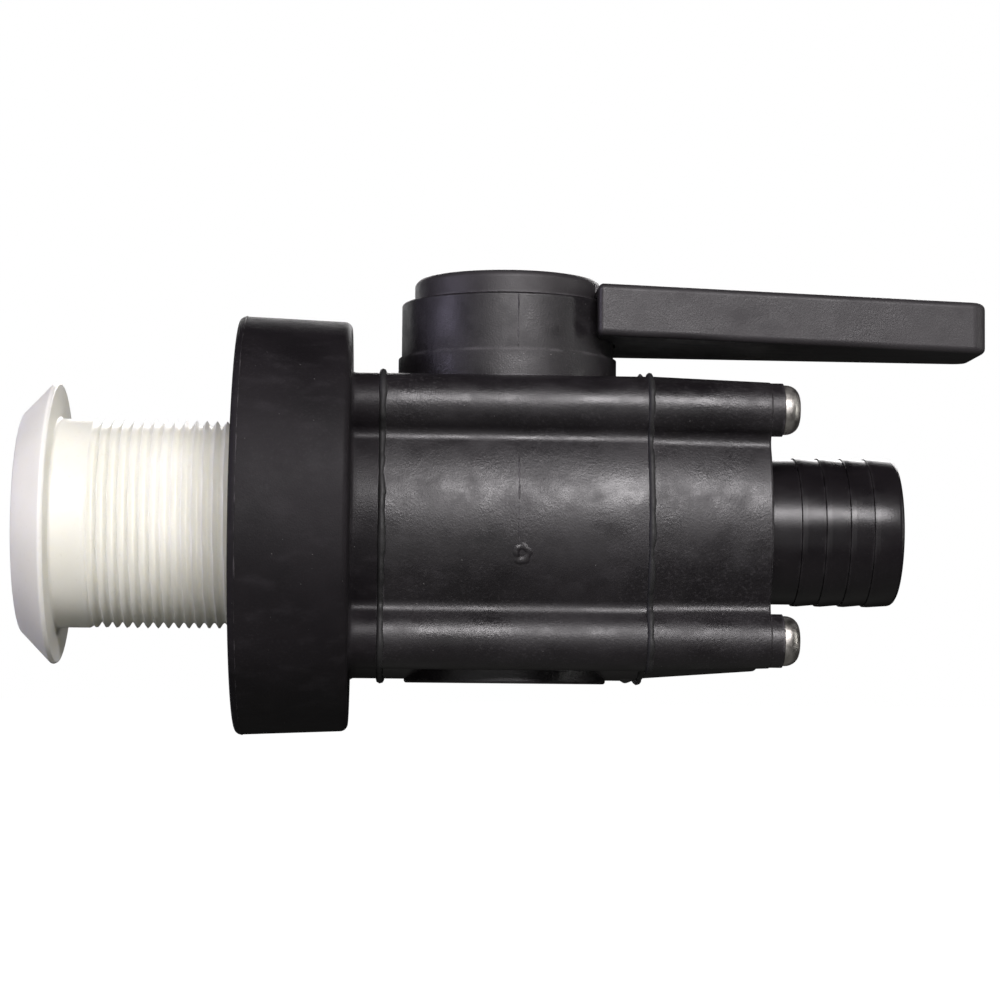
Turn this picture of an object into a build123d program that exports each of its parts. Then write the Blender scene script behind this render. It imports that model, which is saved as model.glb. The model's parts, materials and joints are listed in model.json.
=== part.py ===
from build123d import *
import os
from math import sqrt

# A plastic seacock: a ball valve on a flange, held in a boat's hull by a threaded
# through-hull fitting, with a tail for a hose.
# Millimetres. +X runs along the water path from the hull to the hose, +Z points up
# the stem. The origin is the centre of the flange's hull face.

# ---- driving dimensions -------------------------------------------------------

# Crest of the fitting's moulded G 1 1/2 thread, just under the standard's 23.9. The shank is left plain
thread_radius = 23.7

# Through-hull fitting
head_front_x = -48.4
head_front_radius = 24.9
head_rim_x = -41.4
head_rim_radius = 32.2
head_back_x = -40.5
fitting_end_x = 22.0
fitting_bore_radius = 19.0

# Outside of the valve's body: a round core with four lobes for the long screws
core_radius = 34.55
lobe_radius = 6.95
valley_radius = 2.5
screw_offset = 25.5
screw_places = [(y, z) for y in (-screw_offset, screw_offset) for z in (-screw_offset, screw_offset)]

flange_radius = 47.6
flange_valve_radius = 46.55
flange_length = 25.5
gasket_thickness = 0.8
gasket_proud = 0.45
housing_start_x = 32.9
housing_end_x = 90.85
tail_start_x = housing_end_x + gasket_thickness
tail_end_x = 118.2
boss_end_x = 120.7
boss_radius = 5.9

# Ball, seats and water path
stem_x = 61.0
ball_radius = 26.0
port_radius = 16.0
cavity_radius = 28.5
seat_gap = 0.05
seat_bore_radius = 16.5
seat_outer_radius = 23.5
seat_back = 21.7
seat_front = 17.0
spigot_radius = 28.3
spigot_reach = 17.4
seal_pitch_radius = 20.0
seal_cord_radius = 1.18
seal_groove_depth = 2.4
seal_groove_half_width = 1.3

# Stem and tower
stem_radius = 8.0
stem_bore_radius = 8.05
collar_radius = 11.0
collar_low_z = 26.4
collar_high_z = 30.35
washer_low_z = 30.4
washer_high_z = 31.6
tower_radius = 24.3
tower_top_z = 51.2
tower_ring_radius = 25.0
tower_ring_top_z = 38.5
pad_radius = 22.95
pad_low_z = -35.4

# Handle
cap_radius = 21.4
cap_low_z = 51.6
cap_top_z = 56.7
lever_start = 19.3
lever_reach = 109.1
lever_root_half_width = 21.4
lever_tip_half_width = 11.0
lever_root_low_z = 42.2
lever_tip_low_z = 40.6
lever_thickness = 11.8

# Hose tail
barb_radius = 17.1
barb_root_radius = 16.7
barb_bore_radius = 14.0
barb_edges_x = [126.8, 132.3, 137.8, 143.2]
barb_land = 0.8
barb_end_x = 150.1
tail_thread_radius = 16.6
tail_thread_start_x = 100.7

# Screws and nuts, M6 through the body and M5 in the handle
screw_radius = 3.0
screw_hole_radius = 3.2
screw_end_x = 11.5
nut_across_flats = 10.0
nut_start_x = 13.0
nut_end_x = 18.0

stem_axis = Axis((stem_x, 0, 0), (0, 0, 1))
side_plane = Plane.XZ
stem_plane = Plane.XZ.shift_origin((stem_x, 0, 0))


# ---- shared profiles ----------------------------------------------------------


def outline(plane, points):
    """A closed face through the points, on the plane."""
    with BuildSketch(plane) as face:
        with BuildLine():
            Polyline(*points, close=True)
        make_face()
    return face.sketch


def lobed_outline(x, core, lobe, valley=valley_radius):
    """The body's cross-section at x: a round core with a lobe round each long screw."""
    with BuildSketch(Plane.YZ.offset(x)) as section_face:
        Circle(core)
        with Locations(*screw_places):
            Circle(lobe)
        valleys = section_face.vertices().filter_by(lambda v: on_a_lobe(v, lobe))
        fillet(valleys, radius=valley)
    return section_face.sketch


def on_a_lobe(vertex, lobe):
    """True where the vertex, in its sketch's own axes, lies on the edge of a lobe."""
    across = abs(abs(vertex.X) - screw_offset)
    up = abs(abs(vertex.Y) - screw_offset)
    return abs(sqrt(across**2 + up**2) - lobe) < 0.01


def screw_circles(x, radius):
    """Four circles at x, one round each long screw."""
    with BuildSketch(Plane.YZ.offset(x)) as circles:
        with Locations(*screw_places):
            Circle(radius)
    return circles.sketch


def circle_at(x, radius):
    """A circle round the water path at x."""
    with BuildSketch(Plane.YZ.offset(x)) as circle:
        Circle(radius)
    return circle.sketch


def circle_up(z, radius):
    """A circle round the stem at height z."""
    with BuildSketch(Plane.XY.offset(z)) as circle:
        with Locations((stem_x, 0)):
            Circle(radius)
    return circle.sketch


def round_edges(part, radius):
    """The part's circular edges of this radius."""
    return part.edges().filter_by(GeomType.CIRCLE).filter_by(lambda e: abs(e.radius - radius) < 0.01)


# ---- through-hull fitting -----------------------------------------------------

front_edge_round = 0.7
rim_edge_round = 0.5
rim_undercut = 0.4
bore_flare = 3.0
inner_bore_radius = 18.4
lug_start_x = -18.0
lug_length = 15.0
lug_width = 4.0
lug_height = 2.0
lug_root = 1.0

with BuildPart() as through_hull_fitting:
    revolve(
        outline(
            side_plane,
            [
                (head_front_x, fitting_bore_radius + bore_flare),
                (head_front_x, head_front_radius),
                (head_rim_x, head_rim_radius),
                (head_back_x, head_rim_radius - rim_undercut),
                (head_back_x, thread_radius),
                (fitting_end_x, thread_radius),
                (fitting_end_x, inner_bore_radius),
                (lug_start_x, inner_bore_radius),
                (lug_start_x, fitting_bore_radius),
                (head_front_x + bore_flare, fitting_bore_radius),
            ],
        ),
        axis=Axis.X,
    )
    fillet(round_edges(through_hull_fitting, head_front_radius), radius=front_edge_round)
    fillet(round_edges(through_hull_fitting, head_rim_radius), radius=rim_edge_round)

    # Two lugs past the step in the bore take the fitter's key
    with BuildSketch(Plane.YZ.offset(lug_start_x)):
        with PolarLocations(inner_bore_radius - lug_height / 2 + lug_root / 2, 2, start_angle=90):
            Rectangle(lug_height + lug_root, lug_width)
    extrude(amount=lug_length)


# ---- base: flange, neck and hull-side spigot ----------------------------------

neck_end_x = housing_start_x - gasket_thickness
fitting_hole_radius = 24.1
fitting_hole_depth = 31.0
core_depth = 17.5
rim_inner_radius = 42.8
hub_outer_radius = 29.5
nut_boss_radius = 8.2
web_count = 12
web_thickness = 2.5
nut_pocket_flats = 10.2
seat_recess_radius = 23.6
fitting_stop_radius = 20.0
fitting_stop_taper = 5.0
hull_edge_round = 1.4
valve_edge_round = 1.8
neck_round = 1.2

with BuildPart() as base_flange:
    revolve(
        outline(
            side_plane,
            [(0, 0), (0, flange_radius), (flange_length, flange_valve_radius), (flange_length, 0)],
        ),
        axis=Axis.X,
    )
    fillet(round_edges(base_flange, flange_radius), radius=hull_edge_round)
    fillet(round_edges(base_flange, flange_valve_radius), radius=valve_edge_round)
    extrude(
        lobed_outline(flange_length - 1, core_radius, lobe_radius),
        amount=neck_end_x - flange_length + 1,
    )
    neck_edges = base_flange.edges().filter_by(lambda e: abs(e.center().X - flange_length) < 0.01)
    fillet(neck_edges.filter_by(lambda e: e.length < flange_radius), radius=neck_round)
    extrude(circle_at(neck_end_x, spigot_radius), amount=stem_x - spigot_reach - neck_end_x)

    # The flange is cored from the hull side, between a rim, a hub and radial webs
    with BuildSketch(Plane.YZ):
        Circle(rim_inner_radius)
        Circle(hub_outer_radius, mode=Mode.SUBTRACT)
        with PolarLocations((rim_inner_radius + hub_outer_radius) / 2, web_count, start_angle=15):
            Rectangle(rim_inner_radius - hub_outer_radius + 2, web_thickness, mode=Mode.SUBTRACT)
        with Locations(*screw_places):
            Circle(nut_boss_radius, mode=Mode.SUBTRACT)
    extrude(amount=core_depth, mode=Mode.SUBTRACT)

    # A captive nut sits at the floor of each hexagonal pocket
    with BuildSketch(Plane.YZ):
        with Locations(*screw_places):
            RegularPolygon(nut_pocket_flats / 2, 6, major_radius=False)
    extrude(amount=nut_end_x, mode=Mode.SUBTRACT)
    extrude(
        screw_circles(nut_end_x - 1, screw_hole_radius),
        amount=neck_end_x - nut_end_x + 2,
        mode=Mode.SUBTRACT,
    )

    # Bore for the fitting, water path, seat recess and the groove behind the seat
    revolve(
        outline(
            side_plane,
            [
                (-1, 0),
                (-1, fitting_hole_radius),
                (fitting_hole_depth, fitting_hole_radius),
                (fitting_hole_depth, fitting_stop_radius),
                (fitting_hole_depth + fitting_stop_taper, seat_bore_radius),
                (stem_x - seat_back, seat_bore_radius),
                (stem_x - seat_back, seat_recess_radius),
                (stem_x, seat_recess_radius),
                (stem_x, 0),
            ],
        ),
        axis=Axis.X,
        mode=Mode.SUBTRACT,
    )
    with BuildSketch(Plane.YZ.offset(stem_x - seat_back - seal_groove_depth)):
        Circle(seal_pitch_radius + seal_groove_half_width)
        Circle(seal_pitch_radius - seal_groove_half_width, mode=Mode.SUBTRACT)
    extrude(amount=seal_groove_depth, mode=Mode.SUBTRACT)


# ---- gaskets at the two joints of the body ------------------------------------


def body_gasket(start_x):
    """A lobed gasket that stands slightly proud of the joint."""
    with BuildPart() as gasket:
        extrude(
            lobed_outline(start_x, core_radius + gasket_proud, lobe_radius + gasket_proud),
            amount=gasket_thickness,
        )
        extrude(circle_at(start_x, cavity_radius), amount=gasket_thickness, mode=Mode.SUBTRACT)
        extrude(screw_circles(start_x, screw_hole_radius), amount=gasket_thickness, mode=Mode.SUBTRACT)
    return gasket


hull_side_gasket = body_gasket(neck_end_x)
tail_side_gasket = body_gasket(housing_end_x)


# ---- ball housing with the stem tower -----------------------------------------

tower_floor_z = 37.5
tower_core_outer_radius = 20.5
stem_boss_radius = 12.5
stem_boss_top_z = 45.0
stop_rib_top_z = 50.8
stop_lug_half_width = 3.0
stop_gap = 0.2
stop_rib_width = 3.3
stop_rib_length = 7.6
stop_rib_offset = 17.0
stem_web_width = 2.2
tower_edge_round = 0.6
counterbore_radius = 11.3
counterbore_low_z = 20.4

with BuildPart() as ball_housing:
    extrude(
        lobed_outline(housing_start_x, core_radius, lobe_radius),
        amount=housing_end_x - housing_start_x,
    )
    extrude(circle_up(0, tower_ring_radius), amount=tower_ring_top_z)
    extrude(circle_up(0, tower_radius), amount=tower_top_z)
    extrude(circle_up(pad_low_z, pad_radius), amount=-pad_low_z)
    extrude(
        circle_at(housing_start_x, cavity_radius),
        amount=housing_end_x - housing_start_x,
        mode=Mode.SUBTRACT,
    )

    # The tower is cored round the stem's boss, with four low webs
    with BuildSketch(Plane.XY.offset(tower_floor_z)):
        with Locations((stem_x, 0)):
            Circle(tower_core_outer_radius)
            Circle(stem_boss_radius, mode=Mode.SUBTRACT)
    extrude(amount=tower_top_z - tower_floor_z, mode=Mode.SUBTRACT)
    with BuildSketch(Plane.XY.offset(tower_floor_z)):
        with Locations((stem_x, 0)):
            with PolarLocations((tower_core_outer_radius + stem_boss_radius) / 2, 4, start_angle=45):
                Rectangle(tower_core_outer_radius - stem_boss_radius + 1, stem_web_width)
    extrude(amount=stem_boss_top_z - tower_floor_z)
    with BuildSketch(Plane.XY.offset(stem_boss_top_z)):
        with Locations((stem_x, 0)):
            Circle(stem_boss_radius + 0.2)
    extrude(amount=tower_top_z - stem_boss_top_z, mode=Mode.SUBTRACT)

    # Two ribs stop the handle at a quarter turn
    with BuildSketch(Plane.XY.offset(tower_floor_z)):
        with Locations((stem_x - stop_rib_offset, -stop_lug_half_width - stop_gap - stop_rib_width / 2)):
            Rectangle(stop_rib_length, stop_rib_width)
        with Locations((stem_x + stop_lug_half_width + stop_gap + stop_rib_width / 2, stop_rib_offset)):
            Rectangle(stop_rib_width, stop_rib_length)
    extrude(amount=stop_rib_top_z - tower_floor_z)

    # Stem bore, with a wider seat below for the thrust washer and the stem's collar
    extrude(
        circle_up(counterbore_low_z, counterbore_radius),
        amount=washer_high_z - counterbore_low_z,
        mode=Mode.SUBTRACT,
    )
    extrude(
        circle_up(washer_high_z, stem_bore_radius),
        amount=tower_top_z - washer_high_z,
        mode=Mode.SUBTRACT,
    )
    extrude(
        screw_circles(housing_start_x, screw_hole_radius),
        amount=housing_end_x - housing_start_x,
        mode=Mode.SUBTRACT,
    )
    level_circles = ball_housing.edges().filter_by(GeomType.CIRCLE).group_by(Axis.Z)
    fillet(level_circles[-1].sort_by(SortBy.RADIUS)[-1], radius=tower_edge_round)
    pad_circles = ball_housing.edges().filter_by(GeomType.CIRCLE).group_by(Axis.Z)
    fillet(pad_circles[0], radius=tower_edge_round)


# ---- tail cover ---------------------------------------------------------------

tail_core_start_radius = 34.0
tail_core_end_radius = 32.05
tail_lobe_start_radius = 7.0
tail_lobe_end_radius = 6.05
tail_water_radius = 15.0
tail_shoulder_x = 99.3
tail_thread_hole_radius = 16.65
tail_core_inner_radius = 21.0
tail_core_outer_radius = 28.0
tail_core_depth = 17.0
tail_web_count = 8
tail_web_thickness = 2.4
tail_water_taper = 8.0
tail_edge_round = 0.6

with BuildPart() as tail_cover:
    loft(
        [
            lobed_outline(tail_start_x, tail_core_start_radius, tail_lobe_start_radius),
            lobed_outline(tail_end_x, tail_core_end_radius, tail_lobe_end_radius),
        ],
        ruled=True,
    )
    fillet(tail_cover.edges().group_by(Axis.X)[-1], radius=tail_edge_round)
    extrude(screw_circles(tail_end_x - 3, boss_radius), amount=boss_end_x - tail_end_x + 3)
    extrude(circle_at(stem_x + spigot_reach, spigot_radius), amount=tail_start_x - stem_x - spigot_reach)
    revolve(
        outline(
            side_plane,
            [
                (stem_x, 0),
                (stem_x, seat_recess_radius),
                (stem_x + seat_back, seat_recess_radius),
                (stem_x + seat_back, seat_bore_radius),
                (stem_x + seat_back + tail_water_taper, tail_water_radius),
                (tail_shoulder_x, tail_water_radius),
                (tail_shoulder_x, tail_thread_hole_radius),
                (tail_end_x + 1, tail_thread_hole_radius),
                (tail_end_x + 1, 0),
            ],
        ),
        axis=Axis.X,
        mode=Mode.SUBTRACT,
    )
    with BuildSketch(Plane.YZ.offset(stem_x + seat_back)):
        Circle(seal_pitch_radius + seal_groove_half_width)
        Circle(seal_pitch_radius - seal_groove_half_width, mode=Mode.SUBTRACT)
    extrude(amount=seal_groove_depth, mode=Mode.SUBTRACT)

    # The end face is cored round the hose tail's hub, with eight webs
    with BuildSketch(Plane.YZ.offset(tail_end_x - tail_core_depth)):
        Circle(tail_core_outer_radius)
        Circle(tail_core_inner_radius, mode=Mode.SUBTRACT)
        with PolarLocations((tail_core_outer_radius + tail_core_inner_radius) / 2, tail_web_count):
            Rectangle(
                tail_core_outer_radius - tail_core_inner_radius + 2,
                tail_web_thickness,
                mode=Mode.SUBTRACT,
            )
    extrude(amount=tail_core_depth, mode=Mode.SUBTRACT)
    extrude(
        screw_circles(tail_start_x, screw_hole_radius),
        amount=boss_end_x - tail_start_x,
        mode=Mode.SUBTRACT,
    )


# ---- hose tail ----------------------------------------------------------------

tip_edge_round = 1.8


def barb_profile():
    """Half section: thread inside the cover, then ribs that slope towards the tip."""
    points = [(tail_thread_start_x, barb_bore_radius), (tail_thread_start_x, tail_thread_radius)]
    points += [(tail_end_x, tail_thread_radius), (tail_end_x, barb_root_radius)]
    points += [(barb_edges_x[0], barb_root_radius)]
    for edge_x, next_x in zip(barb_edges_x, barb_edges_x[1:] + [barb_end_x]):
        points += [(edge_x, barb_radius), (edge_x + barb_land, barb_radius), (next_x, barb_root_radius)]
    points += [(barb_end_x, barb_bore_radius)]
    return points


with BuildPart() as hose_tail:
    revolve(outline(side_plane, barb_profile()), axis=Axis.X)
    tip_circles = hose_tail.edges().filter_by(GeomType.CIRCLE).group_by(Axis.X)[-1]
    fillet(tip_circles.sort_by(SortBy.RADIUS)[-1], radius=tip_edge_round)

with BuildPart() as hose_tail_seal:
    extrude(circle_at(tail_shoulder_x, tail_thread_radius), amount=tail_thread_start_x - tail_shoulder_x)
    extrude(
        circle_at(tail_shoulder_x, tail_water_radius),
        amount=tail_thread_start_x - tail_shoulder_x,
        mode=Mode.SUBTRACT,
    )


# ---- ball, seats and seat rings -----------------------------------------------

slot_width = 9.0
slot_floor_z = 19.6

with BuildPart() as ball:
    with Locations((stem_x, 0, 0)):
        Sphere(ball_radius)
    extrude(circle_at(stem_x, port_radius), amount=ball_radius, both=True, mode=Mode.SUBTRACT)
    with BuildSketch(Plane.XY.offset(slot_floor_z)):
        with Locations((stem_x, 0)):
            Rectangle(slot_width, 2 * ball_radius)
    extrude(amount=ball_radius, mode=Mode.SUBTRACT)


def seat(side):
    """A seat ring with a hollow face that fits the ball, on the side -1 hull or +1 hose."""
    face_radius = ball_radius + seat_gap
    lip = sqrt(face_radius**2 - seat_front**2)
    inner = sqrt(face_radius**2 - seat_bore_radius**2)
    with BuildPart() as ring:
        with BuildSketch(stem_plane):
            with BuildLine():
                Polyline(
                    (side * inner, seat_bore_radius),
                    (side * seat_back, seat_bore_radius),
                    (side * seat_back, seat_outer_radius),
                    (side * seat_front, seat_outer_radius),
                    (side * seat_front, lip),
                )
                RadiusArc((side * seat_front, lip), (side * inner, seat_bore_radius), side * face_radius)
            make_face()
        revolve(axis=Axis.X)
    return ring


def seat_ring(side):
    """The rubber ring behind a seat, which presses it onto the ball."""
    with BuildPart() as ring:
        with BuildSketch(stem_plane):
            with Locations((side * (seat_back + seal_groove_depth / 2), seal_pitch_radius)):
                Circle(seal_cord_radius)
        revolve(axis=Axis.X)
    return ring


hull_side_seat = seat(-1)
tail_side_seat = seat(1)
hull_side_seat_ring = seat_ring(-1)
tail_side_seat_ring = seat_ring(1)


# ---- stem, its rings and its thrust washer ------------------------------------

groove_radius = 6.3
groove_width = 1.8
lower_groove_z = 33.5
upper_groove_z = 37.5
stem_shoulder_z = 45.2
stem_top_z = 50.6
stem_square = 11.0
tang_width = 8.8
tang_length = 17.0
tang_low_z = 19.65
insert_hole_radius = 2.55
insert_hole_low_z = 39.6

with BuildPart() as stem:
    revolve(
        outline(
            stem_plane,
            [
                (0, collar_low_z),
                (collar_radius, collar_low_z),
                (collar_radius, collar_high_z),
                (stem_radius, collar_high_z),
                (stem_radius, lower_groove_z),
                (groove_radius, lower_groove_z),
                (groove_radius, lower_groove_z + groove_width),
                (stem_radius, lower_groove_z + groove_width),
                (stem_radius, upper_groove_z),
                (groove_radius, upper_groove_z),
                (groove_radius, upper_groove_z + groove_width),
                (stem_radius, upper_groove_z + groove_width),
                (stem_radius, stem_shoulder_z),
                (0, stem_shoulder_z),
            ],
        ),
        axis=stem_axis,
    )
    with BuildSketch(Plane.XY.offset(stem_shoulder_z)):
        with Locations((stem_x, 0)):
            Rectangle(stem_square, stem_square)
    extrude(amount=stem_top_z - stem_shoulder_z)
    with BuildSketch(Plane.XY.offset(tang_low_z)):
        with Locations((stem_x, 0)):
            Rectangle(tang_width, tang_length)
    extrude(amount=collar_low_z - tang_low_z)
    extrude(
        circle_up(insert_hole_low_z, insert_hole_radius),
        amount=stem_top_z - insert_hole_low_z,
        mode=Mode.SUBTRACT,
    )


def stem_ring(groove_z):
    """A rubber ring in a groove of the stem."""
    cord_radius = (stem_radius - groove_radius) / 2
    with BuildPart() as ring:
        with BuildSketch(stem_plane):
            with Locations((groove_radius + cord_radius, groove_z + groove_width / 2)):
                Circle(cord_radius)
        revolve(axis=stem_axis)
    return ring


stem_lower_ring = stem_ring(lower_groove_z)
stem_upper_ring = stem_ring(upper_groove_z)

washer_outer_radius = 11.25
washer_hole_radius = 8.1

with BuildPart() as stem_thrust_washer:
    extrude(circle_up(washer_low_z, washer_outer_radius), amount=washer_high_z - washer_low_z)
    extrude(
        circle_up(washer_low_z, washer_hole_radius),
        amount=washer_high_z - washer_low_z,
        mode=Mode.SUBTRACT,
    )


# ---- handle, its screw and washer ---------------------------------------------

tower_gap = 0.4
hub_low_z = 45.4
hub_radius = 12.0
socket_square = 11.1
socket_top_z = 50.7
recess_floor_z = 52.3
recess_radius = 8.2
handle_screw_radius = 2.5
handle_hole_radius = 2.9
handle_washer_radius = 7.5
handle_washer_thickness = 1.0
handle_washer_hole_radius = 2.7
bridge_half_width = 9.0
bridge_start = 12.0
bridge_step = 22.0
bridge_cap_drop = 1.8
bridge_end = 36.0
bridge_end_drop = 0.6
bridge_low_start = 26.0
lever_tip_round = 4.0
lever_edge_round = 1.5
root_edge_round = 1.2
cap_edge_round = 1.6
lug_offset = 16.5
lug_depth = 5.0
lug_clearance = 1.0

with BuildPart() as handle:
    # Lever: a bar of even thickness that narrows in plan and dips slightly to its tip
    with BuildSketch(Plane.XY.offset(lever_tip_low_z - 2)) as lever_plan:
        with BuildLine():
            Polyline(
                (stem_x + lever_start, -lever_root_half_width),
                (stem_x + lever_reach, -lever_tip_half_width),
                (stem_x + lever_reach, lever_tip_half_width),
                (stem_x + lever_start, lever_root_half_width),
                close=True,
            )
        make_face()
        fillet(lever_plan.vertices().group_by(Axis.X)[-1], radius=lever_tip_round)
    extrude(amount=cap_top_z - lever_tip_low_z)
    extrude(
        outline(
            stem_plane,
            [
                (lever_start, lever_root_low_z),
                (lever_reach, lever_tip_low_z),
                (lever_reach, lever_tip_low_z + lever_thickness),
                (lever_start, lever_root_low_z + lever_thickness),
            ],
        ),
        amount=lever_root_half_width + 1,
        both=True,
        mode=Mode.INTERSECT,
    )
    root_x = stem_x + lever_start
    long_edges = handle.edges().filter_by(lambda e: abs(e.tangent_at(0.5).Z) < 0.05)
    fillet(long_edges.filter_by(lambda e: e.center().X > root_x + 1), radius=lever_edge_round)
    root_edges = handle.edges().filter_by(lambda e: abs(e.center().X - root_x) < 0.01)
    root_lower_third_z = lever_root_low_z + lever_thickness / 3
    upper_root_edges = root_edges.filter_by(lambda e: e.center().Z > root_lower_third_z)
    fillet(upper_root_edges, radius=root_edge_round)
    extrude(
        circle_up(tower_floor_z, tower_radius + tower_gap),
        amount=cap_low_z - tower_floor_z,
        mode=Mode.SUBTRACT,
    )

    # Cap over the tower, with a bridge that carries it into the lever
    extrude(circle_up(cap_low_z, cap_radius), amount=cap_top_z - cap_low_z)
    fillet(handle.edges().filter_by(GeomType.CIRCLE).group_by(Axis.Z)[-1], radius=cap_edge_round)
    extrude(
        outline(
            stem_plane,
            [
                (bridge_start, cap_low_z),
                (bridge_start, cap_top_z - bridge_cap_drop),
                (bridge_step, cap_top_z - bridge_cap_drop),
                (bridge_end, lever_root_low_z + lever_thickness - bridge_end_drop),
                (bridge_end, cap_low_z - 1),
                (bridge_low_start, cap_low_z - 1),
                (bridge_low_start, cap_low_z),
            ],
        ),
        amount=bridge_half_width,
        both=True,
    )

    # Hub with the square socket, and the lug that meets the tower's stop ribs
    extrude(circle_up(hub_low_z, hub_radius), amount=cap_low_z - hub_low_z)
    with BuildSketch(Plane.XY.offset(stem_boss_top_z + lug_clearance)):
        with Locations((stem_x - lug_offset, 0)):
            Rectangle(lug_depth, 2 * stop_lug_half_width)
    extrude(amount=cap_low_z - stem_boss_top_z - lug_clearance)
    with BuildSketch(Plane.XY.offset(hub_low_z)):
        with Locations((stem_x, 0)):
            Rectangle(socket_square, socket_square)
    extrude(amount=socket_top_z - hub_low_z, mode=Mode.SUBTRACT)
    extrude(
        circle_up(socket_top_z, handle_hole_radius),
        amount=cap_top_z - socket_top_z,
        mode=Mode.SUBTRACT,
    )
    extrude(
        circle_up(recess_floor_z, recess_radius),
        amount=cap_top_z - recess_floor_z,
        mode=Mode.SUBTRACT,
    )

with BuildPart() as handle_washer:
    extrude(circle_up(recess_floor_z, handle_washer_radius), amount=handle_washer_thickness)
    extrude(
        circle_up(recess_floor_z, handle_washer_hole_radius),
        amount=handle_washer_thickness,
        mode=Mode.SUBTRACT,
    )

button_head_radius = 4.75
button_head_height = 2.6
button_seat_z = recess_floor_z + handle_washer_thickness
handle_screw_end_z = 40.3
button_flat_radius = 2.0
button_edge_height = 0.5
button_dome_radius = 3.4
button_key_flats = 3.0
button_key_depth = 1.6

with BuildPart() as handle_screw:
    with BuildSketch(stem_plane):
        with BuildLine():
            Polyline(
                (button_flat_radius, button_seat_z + button_head_height),
                (0, button_seat_z + button_head_height),
                (0, handle_screw_end_z),
                (handle_screw_radius, handle_screw_end_z),
                (handle_screw_radius, button_seat_z),
                (button_head_radius, button_seat_z),
                (button_head_radius, button_seat_z + button_edge_height),
            )
            RadiusArc(
                (button_flat_radius, button_seat_z + button_head_height),
                (button_head_radius, button_seat_z + button_edge_height),
                button_dome_radius,
            )
        make_face()
    revolve(axis=stem_axis)
    with BuildSketch(Plane.XY.offset(button_seat_z + button_head_height)):
        with Locations((stem_x, 0)):
            RegularPolygon(button_key_flats / 2, 6, major_radius=False)
    extrude(amount=-button_key_depth, mode=Mode.SUBTRACT)


# ---- long body screws and their captive nuts ----------------------------------

head_radius = 5.5
head_height = 3.8
head_flat_radius = 2.6
head_edge_height = 0.8
head_dome_radius = 4.2
key_flats = 4.0
key_depth = 1.9

with BuildPart() as one_screw:
    with BuildSketch(side_plane):
        with BuildLine():
            Polyline(
                (boss_end_x + head_height, head_flat_radius),
                (boss_end_x + head_height, 0),
                (screw_end_x, 0),
                (screw_end_x, screw_radius),
                (boss_end_x, screw_radius),
                (boss_end_x, head_radius),
                (boss_end_x + head_edge_height, head_radius),
            )
            RadiusArc(
                (boss_end_x + head_height, head_flat_radius),
                (boss_end_x + head_edge_height, head_radius),
                head_dome_radius,
            )
        make_face()
    revolve(axis=Axis.X)
    with BuildSketch(Plane.YZ.offset(boss_end_x + head_height)):
        RegularPolygon(key_flats / 2, 6, major_radius=False)
    extrude(amount=-key_depth, mode=Mode.SUBTRACT)

with BuildPart() as body_screws:
    with Locations(*[(0, y, z) for y, z in screw_places]):
        add(one_screw.part)

nut_hole_radius = 3.02

with BuildPart() as body_nuts:
    with BuildSketch(Plane.YZ.offset(nut_start_x)):
        with Locations(*screw_places):
            RegularPolygon(nut_across_flats / 2, 6, major_radius=False)
            Circle(nut_hole_radius, mode=Mode.SUBTRACT)
    extrude(amount=nut_end_x - nut_start_x)


# ---- write one STEP per piece -------------------------------------------------

pieces = {
    "through_hull_fitting": through_hull_fitting,
    "base_flange": base_flange,
    "hull_side_gasket": hull_side_gasket,
    "ball_housing": ball_housing,
    "tail_side_gasket": tail_side_gasket,
    "tail_cover": tail_cover,
    "hose_tail": hose_tail,
    "hose_tail_seal": hose_tail_seal,
    "ball": ball,
    "hull_side_seat": hull_side_seat,
    "tail_side_seat": tail_side_seat,
    "hull_side_seat_ring": hull_side_seat_ring,
    "tail_side_seat_ring": tail_side_seat_ring,
    "stem": stem,
    "stem_lower_ring": stem_lower_ring,
    "stem_upper_ring": stem_upper_ring,
    "stem_thrust_washer": stem_thrust_washer,
    "handle": handle,
    "handle_washer": handle_washer,
    "handle_screw": handle_screw,
    "body_screws": body_screws,
    "body_nuts": body_nuts,
}

os.makedirs("parts", exist_ok=True)
for name, piece in pieces.items():
    piece.part.label = name
    export_step(piece.part, "parts/" + name + ".step")
    print(name, round(piece.part.volume), "mm3", len(piece.part.solids()), "solid(s)")
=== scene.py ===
import json
import math

import bmesh
import bpy
from mathutils import Matrix, Vector, noise


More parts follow.
